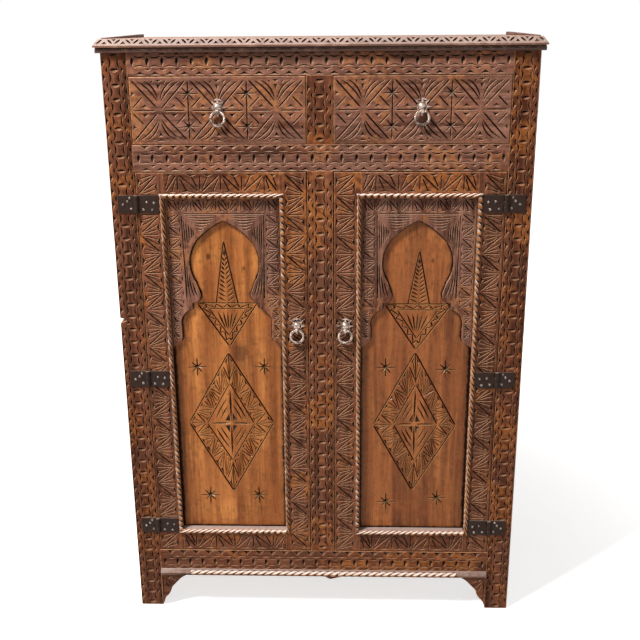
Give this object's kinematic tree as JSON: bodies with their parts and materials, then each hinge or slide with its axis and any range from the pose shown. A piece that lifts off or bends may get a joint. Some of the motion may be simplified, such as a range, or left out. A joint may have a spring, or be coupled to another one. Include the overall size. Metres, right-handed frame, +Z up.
{
  "type": "carved cabinet",
  "caption": "Tall carved wooden cabinet with inset drawers over framed doors with keyhole-arch panels, surface hinges and ring pulls, on short bracketed legs.",
  "frame": {"origin": "on the floor, under the middle of the cabinet's overall width and depth", "axes": "+Z up, -Y towards the front with its doors and drawers, +X to the right seen from the front"},
  "size_m": [0.823, 0.444, 1.2065],
  "materials": {
    "frame_wood": "dark walnut stain, carved, glossy varnish with worn ridges",
    "panel_wood": "golden brown stain, varnished",
    "inner_wood": "plain unvarnished boards",
    "forged_iron": "blackened forged iron",
    "nail_iron": "worn domed heads",
    "aged_nickel": "aged nickel on cast brass"
  },
  "bodies": {
    "carcass": {"back_panel": "inner_wood", "base_moulding": "frame_wood", "base_rope": "frame_wood", "bottom_board": "inner_wood", "bottom_rail": "frame_wood", "cleats": "inner_wood", "door_muntin": "frame_wood", "drawer_deck": "inner_wood", "drawer_guide": "inner_wood", "drawer_muntin": "frame_wood", "front_brackets": "frame_wood", "gallery_strips": "frame_wood", "hinge_frame_leaves": "forged_iron", "hinge_frame_nails": "nail_iron", "hinge_pins": "forged_iron", "middle_rail": "frame_wood", "post_front_left": "frame_wood", "post_front_right": "frame_wood", "post_rear_left": "frame_wood", "post_rear_right": "frame_wood", "rear_rails": "inner_wood", "shelf": "inner_wood", "side_panel_left": "frame_wood", "side_panel_right": "frame_wood", "side_rails": "frame_wood", "top_board": "frame_wood", "top_moulding": "frame_wood", "top_rail": "frame_wood"},
    "door_left": {"door_left_arch_overlay": "frame_wood", "door_left_hinge_leaves": "forged_iron", "door_left_hinge_nails": "nail_iron", "door_left_hinge_stile": "frame_wood", "door_left_panel": "panel_wood", "door_left_pull_mount": "aged_nickel", "door_left_pull_stile": "frame_wood", "door_left_rails": "frame_wood", "door_left_rope_frame": "frame_wood"},
    "drawer_left": {"drawer_left_back": "inner_wood", "drawer_left_bottom": "inner_wood", "drawer_left_front": "frame_wood", "drawer_left_pull_mount": "aged_nickel", "drawer_left_sides": "inner_wood"},
    "door_left_ring": {"door_left_pull_ring": "aged_nickel"},
    "drawer_left_ring": {"drawer_left_pull_ring": "aged_nickel"},
    "door_right": {"door_right_arch_overlay": "frame_wood", "door_right_hinge_leaves": "forged_iron", "door_right_hinge_nails": "nail_iron", "door_right_hinge_stile": "frame_wood", "door_right_panel": "panel_wood", "door_right_pull_mount": "aged_nickel", "door_right_pull_stile": "frame_wood", "door_right_rails": "frame_wood", "door_right_rope_frame": "frame_wood"},
    "drawer_right": {"drawer_right_back": "inner_wood", "drawer_right_bottom": "inner_wood", "drawer_right_front": "frame_wood", "drawer_right_pull_mount": "aged_nickel", "drawer_right_sides": "inner_wood"},
    "door_right_ring": {"door_right_pull_ring": "aged_nickel"},
    "drawer_right_ring": {"drawer_right_pull_ring": "aged_nickel"}
  },
  "joints": [
    {"name": "drawer_left_slide", "type": "slide", "parent": "carcass", "child": "drawer_left", "axis": [0, -1, 0], "range_m": [0, 0.28]},
    {"name": "door_left_hinge", "type": "hinge", "parent": "carcass", "child": "door_left", "pos_m": [-0.353, -0.212, 0.537], "axis": [0, 0, -1], "range_deg": [0, 160]},
    {"name": "drawer_left_ring_swing", "type": "hinge", "parent": "drawer_left", "child": "drawer_left_ring", "pos_m": [-0.18925, -0.2156, 1.0694], "axis": [-1, 0, 0], "range_deg": [0, 95]},
    {"name": "door_left_ring_swing", "type": "hinge", "parent": "door_left", "child": "door_left_ring", "pos_m": [-0.048, -0.2156, 0.6434], "axis": [-1, 0, 0], "range_deg": [0, 95]},
    {"name": "drawer_right_slide", "type": "slide", "parent": "carcass", "child": "drawer_right", "axis": [0, -1, 0], "range_m": [0, 0.28]},
    {"name": "door_right_hinge", "type": "hinge", "parent": "carcass", "child": "door_right", "pos_m": [0.353, -0.212, 0.537], "axis": [0, 0, 1], "range_deg": [0, 160]},
    {"name": "drawer_right_ring_swing", "type": "hinge", "parent": "drawer_right", "child": "drawer_right_ring", "pos_m": [0.18925, -0.2156, 1.0694], "axis": [-1, 0, 0], "range_deg": [0, 95]},
    {"name": "door_right_ring_swing", "type": "hinge", "parent": "door_right", "child": "door_right_ring", "pos_m": [0.048, -0.2156, 0.6434], "axis": [-1, 0, 0], "range_deg": [0, 95]}
  ]
}
